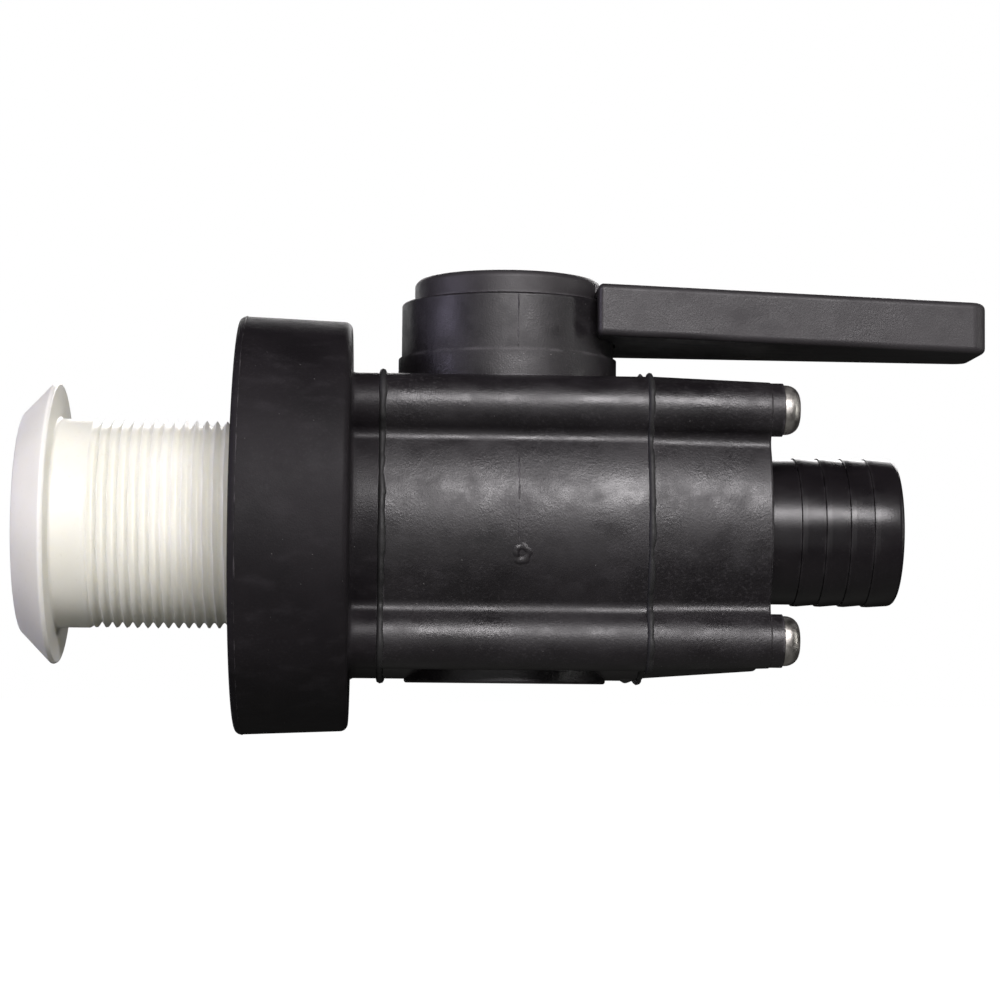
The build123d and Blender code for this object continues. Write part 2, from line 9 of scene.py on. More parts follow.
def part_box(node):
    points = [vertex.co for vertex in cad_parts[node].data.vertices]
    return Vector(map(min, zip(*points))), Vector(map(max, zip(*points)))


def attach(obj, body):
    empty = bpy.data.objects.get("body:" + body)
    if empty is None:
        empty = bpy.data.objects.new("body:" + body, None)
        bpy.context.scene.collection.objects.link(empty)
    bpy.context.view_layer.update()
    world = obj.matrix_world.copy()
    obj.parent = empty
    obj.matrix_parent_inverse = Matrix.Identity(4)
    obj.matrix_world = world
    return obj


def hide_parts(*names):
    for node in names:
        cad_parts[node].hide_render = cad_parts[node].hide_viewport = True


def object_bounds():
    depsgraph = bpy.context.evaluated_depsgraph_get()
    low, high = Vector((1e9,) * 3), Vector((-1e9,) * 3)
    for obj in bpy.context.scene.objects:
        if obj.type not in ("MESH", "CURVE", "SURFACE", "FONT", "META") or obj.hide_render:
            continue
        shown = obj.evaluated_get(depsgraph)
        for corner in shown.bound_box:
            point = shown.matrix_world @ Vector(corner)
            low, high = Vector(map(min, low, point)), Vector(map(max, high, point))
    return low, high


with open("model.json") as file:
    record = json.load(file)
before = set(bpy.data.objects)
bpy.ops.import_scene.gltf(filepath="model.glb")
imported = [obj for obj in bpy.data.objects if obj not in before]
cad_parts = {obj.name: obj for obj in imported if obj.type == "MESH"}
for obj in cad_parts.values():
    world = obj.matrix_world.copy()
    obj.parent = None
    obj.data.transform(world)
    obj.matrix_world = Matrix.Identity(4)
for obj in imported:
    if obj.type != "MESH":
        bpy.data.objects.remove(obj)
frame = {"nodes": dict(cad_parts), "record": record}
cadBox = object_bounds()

print("frame loaded:", len(frame["nodes"]), "nodes")

mm = 0.001
scene = bpy.context.scene
bodyOf = {node: body for body, group in frame["record"]["behaviour"]["bodies"].items() for node in group}


# small helpers for node trees

def addNode(tree, kind, values=None, feeds=None, **options):
    node = tree.nodes.new(kind)
    for option, value in options.items():
        setattr(node, option, value)
    for socket, value in (values or {}).items():
        node.inputs[socket].default_value = value
    for socket, source in (feeds or {}).items():
        tree.links.new(source, node.inputs[socket])
    return node


def mathOf(tree, operation, first, second=0.0, third=None):
    # each of the values is a number or an output socket
    node = tree.nodes.new("ShaderNodeMath")
    node.operation = operation
    for index, item in enumerate([first, second, third]):
        if item is None:
            continue
        if isinstance(item, (int, float)):
            node.inputs[index].default_value = item
        else:
            tree.links.new(item, node.inputs[index])
    return node.outputs[0]


def between(tree, value, low, high, toLow=0.0, toHigh=1.0):
    node = addNode(tree, "ShaderNodeMapRange", {1: low, 2: high, 3: toLow, 4: toHigh}, {0: value})
    node.interpolation_type = "SMOOTHSTEP"
    return node.outputs[0]


def blendColors(tree, share, first, second):
    node = tree.nodes.new("ShaderNodeMix")
    node.data_type = "RGBA"
    tree.links.new(share, node.inputs["Factor"])
    for socket, item in ((6, first), (7, second)):
        if isinstance(item, tuple):
            node.inputs[socket].default_value = (*item, 1)
        else:
            tree.links.new(item, node.inputs[socket])
    return node.outputs[2]


def startMaterial(name):
    material = bpy.data.materials.new(name)
    material.use_nodes = True
    tree = material.node_tree
    shader = tree.nodes["Principled BSDF"]
    place = addNode(tree, "ShaderNodeTexCoord").outputs["Object"]
    return material, tree, shader, place


def noiseAt(tree, place, scale, detail=2.0, stretch=(1, 1, 1), turn=(0, 0, 0), rough=0.5):
    if stretch != (1, 1, 1) or turn != (0, 0, 0):
        mapping = addNode(tree, "ShaderNodeMapping", feeds={"Vector": place})
        mapping.inputs["Rotation"].default_value = [math.radians(angle) for angle in turn]
        mapping.inputs["Scale"].default_value = stretch
        place = mapping.outputs["Vector"]
    values = {"Scale": scale, "Detail": detail, "Roughness": rough}
    return addNode(tree, "ShaderNodeTexNoise", values, {"Vector": place}).outputs[0]


def addBump(tree, shader, height, strength, distance, below=None):
    feeds = {"Height": height}
    if below is not None:
        feeds["Normal"] = below
    bump = addNode(tree, "ShaderNodeBump", {"Strength": strength, "Distance": distance}, feeds)
    tree.links.new(bump.outputs["Normal"], shader.inputs["Normal"])
    return bump.outputs["Normal"]


# moulded glass-filled nylon: grain, flow marks, fine scuffs, dust and rubbed edges

nylonTexture = {
    # a span is where on a noise's 0 to 1 the mark starts, and where it is full
    "mottleScale": 55, "mottleSpan": (0.3, 0.7),
    "flowStretch": (120, 260, 260), "flowTurn": (0, 24, 0), "flowSpan": (0.5, 0.75),
    "patchScale": 42, "patchSpan": (0.36, 0.66), "patchLeast": 0.12,
    "fleckStretch": (1300, 1800, 1800), "fleckTurn": (0, 35, 0), "fleckSpan": (0.53, 0.65),
    "hairs": [((0, 8, 3), (240, 3200, 3200)), ((0, 62, 14), (420, 3400, 3400))],   # turn, stretch
    "hairSpan": (0.74, 0.80),
    "dustScale": 780.0, "dustSpan": (0.11, 0.05), "dustChosen": (0.92, 0.95),
    "bentSpan": (0.985, 0.90),   # cosine between the rounded normal and the true one
    "gapScale": 260, "gapSpan": (0.35, 0.62),
    "cloudScale": 130, "cloudShare": 0.6, "roughSpan": (0.36, 0.64),
    "scuffRough": 0.3, "flowRough": 0.07, "flowRoughSpan": (0.4, 0.8),
    "waveScale": 95, "waveDepth": 0.001,
    "grainDepth": 0.00012,
    "pitScale": 1500, "pitDepth": 0.00018,
}


def scuffMarks(tree, place, patches):
    # flecks and two directions of hair-thin scratches, gathered in patches
    t = nylonTexture
    flecks = noiseAt(tree, place, 1, 4, stretch=t["fleckStretch"], turn=t["fleckTurn"], rough=0.72)
    marks = between(tree, flecks, *t["fleckSpan"])
    for turn, stretch in t["hairs"]:
        hairs = noiseAt(tree, place, 1, 1, stretch=stretch, turn=turn)
        marks = mathOf(tree, "MAXIMUM", marks, between(tree, hairs, *t["hairSpan"]))
    return mathOf(tree, "MULTIPLY", marks, patches)


def dustSpecks(tree, place):
    # the middles of a few cells, chosen by their random colour
    t = nylonTexture
    cells = addNode(
        tree, "ShaderNodeTexVoronoi", {"Scale": t["dustScale"], "Randomness": 1.0}, {"Vector": place})
    middles = between(tree, cells.outputs["Distance"], *t["dustSpan"])
    drawn = mathOf(tree, "FRACT", mathOf(tree, "MULTIPLY", cells.outputs["Color"], 7.0))
    return mathOf(tree, "MULTIPLY", middles, between(tree, drawn, *t["dustChosen"]))


def rubbedEdges(tree, place, look):
    # edges show where the rounded normal leans away from the true one, with gaps
    t = nylonTexture
    soft = addNode(tree, "ShaderNodeBevel", {"Radius": look["edgeSize"]}, samples=4)
    straight = addNode(tree, "ShaderNodeNewGeometry").outputs["Normal"]
    meet = addNode(
        tree, "ShaderNodeVectorMath", feeds={0: soft.outputs[0], 1: straight}, operation="DOT_PRODUCT")
    rubbed = between(tree, meet.outputs["Value"], *t["bentSpan"])
    broken = between(tree, noiseAt(tree, place, t["gapScale"], 4), *t["gapSpan"])
    return mathOf(tree, "MULTIPLY", mathOf(tree, "MULTIPLY", rubbed, broken), look["edgeWear"])


def mouldedNylon(name, look):
    material, tree, shader, place = startMaterial(name)
    shader.inputs["Specular IOR Level"].default_value = look["gloss"]
    t = nylonTexture

    mottle = noiseAt(tree, place, t["mottleScale"], 4)
    flow = noiseAt(tree, place, 1, 3, stretch=t["flowStretch"], turn=t["flowTurn"], rough=0.6)
    patches = between(tree, noiseAt(tree, place, t["patchScale"], 4), *t["patchSpan"], t["patchLeast"], 1.0)
    scuffs = scuffMarks(tree, place, patches)

    color = blendColors(tree, between(tree, mottle, *t["mottleSpan"]), look["dark"], look["light"])
    layers = [
        (between(tree, flow, *t["flowSpan"]), "flow", "flowColor"),
        (scuffs, "scuffs", "scuffColor"),
        (dustSpecks(tree, place), "dust", "dustColor"),
    ]
    for share, amount, shade in layers:
        color = blendColors(tree, mathOf(tree, "MULTIPLY", share, look[amount]), color, look[shade])
    color = blendColors(tree, rubbedEdges(tree, place, look), color, look["scuffColor"])
    tree.links.new(color, shader.inputs["Base Color"])

    clouds = noiseAt(tree, place, t["cloudScale"], 6, rough=0.65)
    mixed = mathOf(
        tree, "MULTIPLY_ADD", clouds, t["cloudShare"],
        mathOf(tree, "MULTIPLY", mottle, 1 - t["cloudShare"]))
    rough = between(tree, mixed, *t["roughSpan"], look["smoothest"], look["roughest"])
    if "dullBy" in look:   # one end of the piece is duller
        depth = addNode(tree, "ShaderNodeSeparateXYZ", feeds={0: place}).outputs[look["dullAxis"]]
        dull = between(tree, depth, look["dullFrom"], look["dullTo"], 0.0, look["dullBy"])
        rough = mathOf(tree, "ADD", rough, dull)
    scuffed = mathOf(tree, "MULTIPLY", scuffs, t["scuffRough"] * look["scuffs"])
    rough = mathOf(tree, "ADD", rough, scuffed)
    flowed = mathOf(tree, "MULTIPLY", between(tree, flow, *t["flowRoughSpan"]), t["flowRough"])
    rough = mathOf(tree, "ADD", rough, flowed)
    tree.links.new(rough, shader.inputs["Roughness"])

    wavy = addBump(tree, shader, noiseAt(tree, place, t["waveScale"], 2), look["wavy"], t["waveDepth"])
    grain = noiseAt(tree, place, look["grainScale"], 3, rough=0.6)
    grainy = addBump(tree, shader, grain, look["grain"], t["grainDepth"], wavy)
    pitted = mathOf(tree, "MULTIPLY", noiseAt(tree, place, t["pitScale"], 4, rough=0.7), patches)
    addBump(tree, shader, pitted, look["pits"], t["pitDepth"], grainy)
    return material


blackLook = {
    "dark": (0.0052, 0.0043, 0.0052), "light": (0.0092, 0.0077, 0.0090),
    "flow": 0.35, "flowColor": (0.018, 0.016, 0.018),
    "scuffs": 0.15, "scuffColor": (0.10, 0.094, 0.099), "pits": 0.5,
    "dust": 0.6, "dustColor": (0.20, 0.195, 0.19),
    "smoothest": 0.28, "roughest": 0.50, "gloss": 0.5,
    "edgeWear": 0.5, "edgeSize": 0.0010,
    "wavy": 0.12, "grain": 0.30, "grainScale": 2600,
}
handleLook = dict(
    blackLook, dark=(0.018, 0.0163, 0.0177), light=(0.027, 0.0247, 0.0264),
    smoothest=0.42, roughest=0.55, gloss=0.42, scuffs=0.10, wavy=0.06)
flangeLook = dict(
    blackLook, smoothest=0.34, roughest=0.44, gloss=0.19,
    grain=0.4, scuffs=0.06, pits=0.12, dust=0.4, flow=0.5,
    dullAxis="X", dullFrom=0.0275, dullTo=0.0255, dullBy=0.20)   # the flange is duller than its neck
housingLook = dict(
    blackLook, dullAxis="Z", dullFrom=0.036, dullTo=0.0385, dullBy=0.09)   # the tower is duller too
tailLook = dict(
    blackLook, smoothest=0.26, roughest=0.32, gloss=0.33, scuffs=0.03, pits=0.03, dust=0.12,
    edgeWear=0.2, grain=0.08, wavy=0.03, flow=0.1)

blackNylon = mouldedNylon("blackNylon", blackLook)
housingNylon = mouldedNylon("housingNylon", housingLook)
handleNylon = mouldedNylon("handleNylon", handleLook)
flangeNylon = mouldedNylon("flangeNylon", flangeLook)
tailNylon = mouldedNylon("tailNylon", tailLook)


# every other material: two close colours with marks over them, and a grain of its own

plainTexture = {"blendSpan": (0.3, 0.72), "markSpan": (0.6, 0.8), "roughSpan": (0.2, 0.8)}


def plainMaterial(name, look):
    t = plainTexture
    material, tree, shader, place = startMaterial(name)
    for socket, value in look.get("fixed", {}).items():
        shader.inputs[socket].default_value = value
    broad = noiseAt(tree, place, look["patchScale"], 4)
    fine = noiseAt(tree, place, look["fineScale"], 3)
    color = blendColors(tree, between(tree, broad, *t["blendSpan"]), look["colorA"], look["colorB"])
    marks = mathOf(tree, "MULTIPLY", between(tree, fine, *t["markSpan"]), look["marks"])
    color = blendColors(tree, marks, color, look["markColor"])
    tree.links.new(color, shader.inputs["Base Color"])
    rough = between(tree, broad, *t["roughSpan"], look["smoothest"], look["roughest"])
    tree.links.new(rough, shader.inputs["Roughness"])
    addBump(tree, shader, fine, look["grain"], look["grainDepth"])
    return material


whiteLook = {
    "colorA": (0.775, 0.77, 0.695), "colorB": (0.83, 0.825, 0.76),
    "markColor": (0.62, 0.60, 0.52), "marks": 0.25,
    "patchScale": 45, "fineScale": 900,
    "smoothest": 0.34, "roughest": 0.46, "grain": 0.12, "grainDepth": 0.0001,
    "fixed": {"Subsurface Weight": 0.5, "Subsurface Scale": 0.005, "Subsurface Radius": (1.0, 0.95, 0.8)},
}
ballLook = {
    "colorA": (0.014, 0.0135, 0.015), "colorB": (0.02, 0.019, 0.021),
    "markColor": (0.07, 0.068, 0.07), "marks": 0.3,
    "patchScale": 70, "fineScale": 1500,
    "smoothest": 0.16, "roughest": 0.26, "grain": 0.05, "grainDepth": 0.00005,
}
seatLook = {
    "colorA": (0.80, 0.79, 0.76), "colorB": (0.86, 0.855, 0.83),
    "markColor": (0.62, 0.60, 0.55), "marks": 0.3,
    "patchScale": 90, "fineScale": 1400,
    "smoothest": 0.38, "roughest": 0.5, "grain": 0.1, "grainDepth": 0.00006,
    "fixed": {"Subsurface Weight": 0.2, "Subsurface Scale": 0.002},
}
rubberLook = {
    "colorA": (0.006, 0.006, 0.006), "colorB": (0.011, 0.0105, 0.011),
    "markColor": (0.035, 0.034, 0.034), "marks": 0.5,
    "patchScale": 150, "fineScale": 1300,
    "smoothest": 0.55, "roughest": 0.75, "grain": 0.3, "grainDepth": 0.0001,
}
steelLook = {
    "colorA": (0.36, 0.345, 0.32), "colorB": (0.50, 0.485, 0.455),
    "markColor": (0.22, 0.20, 0.18), "marks": 0.6,
    "patchScale": 420, "fineScale": 1500,
    "smoothest": 0.30, "roughest": 0.54, "grain": 0.45, "grainDepth": 0.00010,
    "fixed": {"Metallic": 1.0},
}
whiteNylon = plainMaterial("whiteNylon", whiteLook)
ballNylon = plainMaterial("ballNylon", ballLook)
seatPlastic = plainMaterial("seatPlastic", seatLook)
blackRubber = plainMaterial("blackRubber", rubberLook)
satinSteel = plainMaterial("satinSteel", steelLook)

cadFinishes = {
    "base_flange": flangeNylon, "ball_housing": housingNylon, "tail_cover": blackNylon,
    "handle": handleNylon,
    "hull_side_gasket": blackRubber, "tail_side_gasket": blackRubber, "hose_tail_seal": blackRubber,
    "hull_side_seat_ring": blackRubber, "tail_side_seat_ring": blackRubber,
    "stem_lower_ring": blackRubber, "stem_upper_ring": blackRubber,
    "hull_side_seat": seatPlastic, "tail_side_seat": seatPlastic, "stem_thrust_washer": seatPlastic,
    "ball": ballNylon, "stem": ballNylon,
    "handle_washer": satinSteel, "handle_screw": satinSteel, "body_nuts": satinSteel,
}
for node, material in cadFinishes.items():
    slots = frame["nodes"][node].data.materials
    slots.clear()
    slots.append(material)
print("finishes on", len(cadFinishes), "nodes")


# mesh helpers

def finishMesh(mesh, name, material, node=None, body=None, sharp=32):
    # merges the seam, turns the faces outwards and marks the sharp edges
    work = bmesh.new()
    work.from_mesh(mesh)
    bmesh.ops.remove_doubles(work, verts=work.verts, dist=1e-6)
    bmesh.ops.dissolve_degenerate(work, edges=work.edges, dist=1e-7)
    bmesh.ops.recalc_face_normals(work, faces=work.faces)
    for face in work.faces:
        face.smooth = True
    for edge in work.edges:
        if len(edge.link_faces) == 2:
            edge.smooth = edge.calc_face_angle(0) < math.radians(sharp)
    work.to_mesh(mesh)
    work.free()
    mesh.materials.clear()
    mesh.materials.append(material)
    piece = bpy.data.objects.new(name, mesh)
    scene.collection.objects.link(piece)
    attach(piece, body or bodyOf[node])
    if node:
        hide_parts(node)


def roundCorners(outline, steps):
    # rows are (point, radius); a corner becomes an arc where its radius isn't zero
    points = [point for point, radius in outline]
    rounded = []
    for index, (corner, radius) in enumerate(outline):
        if radius == 0:
            rounded.append(corner)
            continue
        here = Vector(corner)
        before = Vector(points[index - 1]) - here
        after = Vector(points[(index + 1) % len(points)]) - here
        half = before.angle(after) / 2
        # an arc takes less than half of the side on each hand
        back = min(radius / math.tan(half), before.length * 0.48, after.length * 0.48)
        bend = back * math.tan(half)
        inward = (before.normalized() + after.normalized()).normalized()
        middle = here + inward * (bend / math.sin(half))
        first = here + before.normalized() * back - middle
        last = here + after.normalized() * back - middle
        sweep = math.atan2(first.x * last.y - first.y * last.x, first.dot(last))
        for step in range(steps + 1):
            part = sweep * step / steps
            along = middle.x + first.x * math.cos(part) - first.y * math.sin(part)
            reach = middle.y + first.x * math.sin(part) + first.y * math.cos(part)
            rounded.append((along, reach))
    return rounded


def latheMesh(name, profile, segments, closed=True):
    # profile points are (along, radius) in millimetres
    mesh = bpy.data.meshes.new(name)
    corners, faces = [], []
    for along, radius in profile:
        for step in range(segments):
            angle = 2 * math.pi * step / segments - math.pi
            across, up = radius * math.cos(angle), radius * math.sin(angle)
            corners.append((along * mm, across * mm, up * mm))
    rings = len(profile)
    for ring in range(rings if closed else rings - 1):
        here = ring * segments
        there = (ring + 1) % rings * segments
        for step in range(segments):
            side = (step + 1) % segments
            faces.append((here + step, here + side, there + side, there + step))
    mesh.from_pydata(corners, [], faces)
    return mesh


# helpers for geometry node trees

def startTree(name, sockets):
    tree = bpy.data.node_groups.new(name, "GeometryNodeTree")
    tree.interface.new_socket("Geometry", in_out="INPUT", socket_type="NodeSocketGeometry")
    for label, kind, value in sockets:
        socket = tree.interface.new_socket(label, in_out="INPUT", socket_type="NodeSocket" + kind)
        if value is not None:
            socket.default_value = value
    tree.interface.new_socket("Geometry", in_out="OUTPUT", socket_type="NodeSocketGeometry")
    entry = tree.nodes.new("NodeGroupInput")
    return tree, entry.outputs


def endTree(tree, geometry, materialSocket):
    real = addNode(tree, "GeometryNodeRealizeInstances", feeds={"Geometry": geometry})
    painted = addNode(
        tree, "GeometryNodeSetMaterial", feeds={"Geometry": real.outputs[0], "Material": materialSocket})
    leave = tree.nodes.new("NodeGroupOutput")
    tree.links.new(painted.outputs[0], leave.inputs[0])


def runTree(tree, sizes, source=None):
    # gives the tree its inputs by identifier and returns the plain mesh it makes
    holder = bpy.data.objects.new(tree.name + "Holder", source or bpy.data.meshes.new(tree.name))
    scene.collection.objects.link(holder)
    modifier = holder.modifiers.new(tree.name, "NODES")
    modifier.node_group = tree
    for item in tree.interface.items_tree:
        if item.item_type == "SOCKET" and item.in_out == "INPUT" and item.name in sizes:
            modifier[item.identifier] = sizes[item.name]
    bpy.context.view_layer.update()
    ready = holder.evaluated_get(bpy.context.evaluated_depsgraph_get())
    made = bpy.data.meshes.new_from_object(ready)
    holder.modifiers.clear()
    bpy.data.objects.remove(holder)
    return made


# through-hull fitting: a mushroom head on a threaded shank, in millimetres

fitting = {
    "segments": 160,
    "threadStart": -33.4,
    "crest": 23.7,
    "depth": 1.35,
    "pitch": 2.309,
    "rowsPerTurn": 10,
    "crestShape": 1.15,    # 1 leaves the crests sharp, and more than 1 rounds them
    "runIn": 2.2,          # the thread reaches its full depth over this length
    "bore": 19.0,
    "innerBore": 18.4,
    "stepAt": -18.0,       # the bore narrows here, where the key lugs start
    "flare": 3.0,
    "frontRadius": 24.9,
    "rimDepth": 7.0,       # from the front to the rim
    "rimThickness": 0.9,
    "rimDraft": 0.5,       # the rim's back edge is this much smaller
    "lugs": {"start": -18.0, "end": -3.0, "low": 16.4, "high": 18.9, "width": 4.0, "edge": 0.45},
}


def makeThreadTree():
    # rolls a flat grid into a tube with a helical groove and a chamfered end
    tree, ins = startTree("threadTree", [
        ("Start", "Float", 0.0), ("Length", "Float", 0.05), ("Crest", "Float", 0.02),
        ("Depth", "Float", 0.001), ("Pitch", "Float", 0.002), ("Rows", "Int", 200),
        ("Columns", "Int", 161), ("Material", "Material", None)])
    grid = addNode(tree, "GeometryNodeMeshGrid", {"Size Y": 1.0}, {
        "Size X": ins["Length"], "Vertices X": ins["Rows"], "Vertices Y": ins["Columns"]})
    where = addNode(tree, "GeometryNodeInputPosition").outputs[0]
    spot = addNode(tree, "ShaderNodeSeparateXYZ", feeds={0: where})
    along = mathOf(tree, "ADD", spot.outputs["X"], mathOf(tree, "MULTIPLY", ins["Length"], 0.5))
    turns = mathOf(tree, "SUBTRACT", mathOf(tree, "DIVIDE", along, ins["Pitch"]), spot.outputs["Y"])
    twice = mathOf(tree, "MULTIPLY", mathOf(tree, "FRACT", turns), 2.0)
    wave = mathOf(tree, "PINGPONG", twice, 1.0)   # 0 at the crest, 1 in the valley
    swing = mathOf(tree, "SINE", mathOf(tree, "MULTIPLY", wave, math.pi / 2))
    drop = mathOf(tree, "POWER", swing, fitting["crestShape"])
    easeIn = between(tree, along, 0.0, fitting["runIn"] * mm)
    cut = mathOf(tree, "MULTIPLY", mathOf(tree, "MULTIPLY", drop, ins["Depth"]), easeIn)
    radius = mathOf(tree, "SUBTRACT", ins["Crest"], cut)
    root = mathOf(tree, "SUBTRACT", ins["Crest"], ins["Depth"])
    chamfer = mathOf(tree, "ADD", root, mathOf(tree, "SUBTRACT", ins["Length"], along))
    radius = mathOf(tree, "MINIMUM", radius, chamfer)
    angle = mathOf(tree, "MULTIPLY", spot.outputs["Y"], 2 * math.pi)
    placed = addNode(tree, "ShaderNodeCombineXYZ", feeds={
        0: mathOf(tree, "ADD", along, ins["Start"]),
        1: mathOf(tree, "MULTIPLY", radius, mathOf(tree, "COSINE", angle)),
        2: mathOf(tree, "MULTIPLY", radius, mathOf(tree, "SINE", angle))})
    wound = addNode(
        tree, "GeometryNodeSetPosition", feeds={"Geometry": grid.outputs[0], "Position": placed.outputs[0]})
    endTree(tree, wound.outputs[0], ins["Material"])
    return tree


low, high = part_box("through_hull_fitting")
headFront, shankEnd, rimRadius = low.x / mm, high.x / mm, high.z / mm
threadLength = shankEnd - fitting["threadStart"]
threadMesh = runTree(makeThreadTree(), {
    "Start": fitting["threadStart"] * mm, "Length": threadLength * mm, "Crest": fitting["crest"] * mm,
    "Depth": fitting["depth"] * mm, "Pitch": fitting["pitch"] * mm,
    "Rows": int(threadLength / fitting["pitch"] * fitting["rowsPerTurn"]),
    "Columns": fitting["segments"] + 1, "Material": whiteNylon})

rimX = headFront + fitting["rimDepth"]
rimBack = rimX + fitting["rimThickness"]
headOutline = [
    # (along, radius), rounding
    ((shankEnd, fitting["crest"] - fitting["depth"]), 0),
    ((shankEnd, fitting["innerBore"]), 0.5),
    ((fitting["stepAt"], fitting["innerBore"]), 0.2),
    ((fitting["stepAt"], fitting["bore"]), 0.1),
    ((headFront + fitting["flare"], fitting["bore"]), 4),
    ((headFront, fitting["bore"] + fitting["flare"]), 1.2),
    ((headFront, fitting["frontRadius"]), 0.9),
    ((rimX, rimRadius), 0.6),
    ((rimBack, rimRadius - fitting["rimDraft"]), 0.4),
    ((rimBack, fitting["crest"]), 0.8),
    ((fitting["threadStart"], fitting["crest"]), 0),
]
fittingMesh = latheMesh("threadedFitting", roundCorners(headOutline, 6), fitting["segments"], closed=False)
work = bmesh.new()
work.from_mesh(fittingMesh)
work.from_mesh(threadMesh)
lug = fitting["lugs"]
for side in (-1, 1):   # the fitter's key turns the fitting by these
    size = Vector((lug["end"] - lug["start"], lug["width"], lug["high"] - lug["low"])) * mm
    middle = Vector((lug["start"] + lug["end"], 0, side * (lug["low"] + lug["high"]))) / 2 * mm
    shape = Matrix.Translation(middle) @ Matrix.Diagonal((*size, 1))
    block = bmesh.ops.create_cube(work, size=1.0, matrix=shape)
    edges = {edge for vert in block["verts"] for edge in vert.link_edges}
    bmesh.ops.bevel(
        work, geom=list(edges), offset=lug["edge"] * mm, segments=3, profile=0.5, affect="EDGES")
work.to_mesh(fittingMesh)
work.free()
finishMesh(
    fittingMesh, "threadedFitting", whiteNylon, "through_hull_fitting", sharp=50)
print("threaded fitting:", len(fittingMesh.polygons), "faces")


# hose tail: a plain neck and four bands that slope towards the tip, in millimetres

hoseTail = {
    "segments": 144,
    "bore": 14.0,
    "neck": 16.7,
    "neckLength": 8.4,     # from the threaded part to the first band
    "crest": 17.1,
    "threadRadius": 16.6,
    "bands": [126.8, 132.3, 137.8, 143.2],
    "groove": 0.14,        # fine groove at the foot of each band
    "lip": 0.05,           # a band starts this far below its crest
    "lipLength": 1.2,
    "tipRound": 1.9,
}
low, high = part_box("hose_tail")
start, end = low.x / mm, high.x / mm
neckStart = hoseTail["bands"][0] - hoseTail["neckLength"]
tailOutline = [
    # (along, radius), rounding
    ((start, hoseTail["bore"]), 0.3),
    ((start, hoseTail["threadRadius"]), 0.3),
    ((neckStart, hoseTail["threadRadius"]), 0),
    ((neckStart, hoseTail["neck"]), 0),
]
for band in hoseTail["bands"]:
    tailOutline += [
        ((band - hoseTail["groove"], hoseTail["neck"]), 0),
        ((band - hoseTail["groove"] / 2, hoseTail["neck"] - hoseTail["groove"]), 0.05),
        ((band, hoseTail["crest"] - hoseTail["lip"]), 0.12),
        ((band + hoseTail["lipLength"], hoseTail["crest"]), 0.5),
    ]
tailOutline += [((end, hoseTail["neck"]), hoseTail["tipRound"]), ((end, hoseTail["bore"]), 0.5)]
tailMesh = latheMesh("ribbedHoseTail", roundCorners(tailOutline, 4), hoseTail["segments"])
finishMesh(tailMesh, "ribbedHoseTail", tailNylon, "hose_tail", sharp=28)
print("hose tail:", len(tailMesh.polygons), "faces")


# long body screws: button heads with hexagon sockets, in millimetres, placed by a tree

screw = {
    "segments": 48,
    "pinhole": 0.001,      # small enough for the tip's ring to merge into a point
    "shank": 3.0,
    "tipChamfer": 0.4,
    "headRadius": 5.5,
    "headHeight": 3.8,
    "underAlong": 0.2, "underAcross": 0.15,   # chamfer under the head
    "headSide": 0.7,       # from the seat to where the dome starts
    "domeSteps": 8,
    "flat": 2.6,
    "socketFlats": 4.0,
    "socketDepth": 1.9,
    "drillPoint": 0.5,     # the socket's floor is this much deeper in its middle
    "offset": 25.5,        # from the water path to each screw, across and up
    "twist": 3.0,          # each is turned by up to this many radians
    "seed": 4,
}
low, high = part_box("body_screws")
tip, headEnd = low.x / mm, high.x / mm
seat = headEnd - screw["headHeight"]
screwProfile = [
    (tip, screw["pinhole"]), (tip, screw["shank"] - screw["tipChamfer"]),
    (tip + screw["tipChamfer"], screw["shank"]), (seat, screw["shank"]),
    (seat, screw["headRadius"] - screw["underAcross"]), (seat + screw["underAlong"], screw["headRadius"]),
]
for step in range(screw["domeSteps"] + 1):
    swing = step / screw["domeSteps"] * math.pi / 2
    rise = screw["headSide"] + (screw["headHeight"] - screw["headSide"]) * math.sin(swing)
    radius = screw["flat"] + (screw["headRadius"] - screw["flat"]) * math.cos(swing)
    screwProfile.append((seat + rise, radius))
screwMesh = latheMesh("oneScrew", screwProfile, screw["segments"], closed=False)
work = bmesh.new()
work.from_mesh(screwMesh)
bmesh.ops.remove_doubles(work, verts=work.verts, dist=2e-6)
rim = [vert for vert in work.verts if vert.is_boundary and vert.co.x > seat * mm]
rim.sort(key=lambda vert: math.atan2(vert.co.z, vert.co.y))
hexTop, hexFloor = [], []
for vert in rim:
    turn = math.atan2(vert.co.z, vert.co.y)
    toFlat = (turn + math.pi / 6) % (math.pi / 3) - math.pi / 6
    reach = screw["socketFlats"] / 2 / math.cos(toFlat) * mm
    across, up = reach * math.cos(turn), reach * math.sin(turn)
    hexTop.append(work.verts.new((vert.co.x, across, up)))
    hexFloor.append(work.verts.new((vert.co.x - screw["socketDepth"] * mm, across, up)))
floorMiddle = work.verts.new(((headEnd - screw["socketDepth"] - screw["drillPoint"]) * mm, 0, 0))
for index in range(len(rim)):
    after = (index + 1) % len(rim)
    work.faces.new((rim[index], rim[after], hexTop[after], hexTop[index]))
    work.faces.new((hexTop[index], hexTop[after], hexFloor[after], hexFloor[index]))
    work.faces.new((hexFloor[index], hexFloor[after], floorMiddle))
work.to_mesh(screwMesh)
work.free()
oneScrew = bpy.data.objects.new("oneScrew", screwMesh)
scene.collection.objects.link(oneScrew)


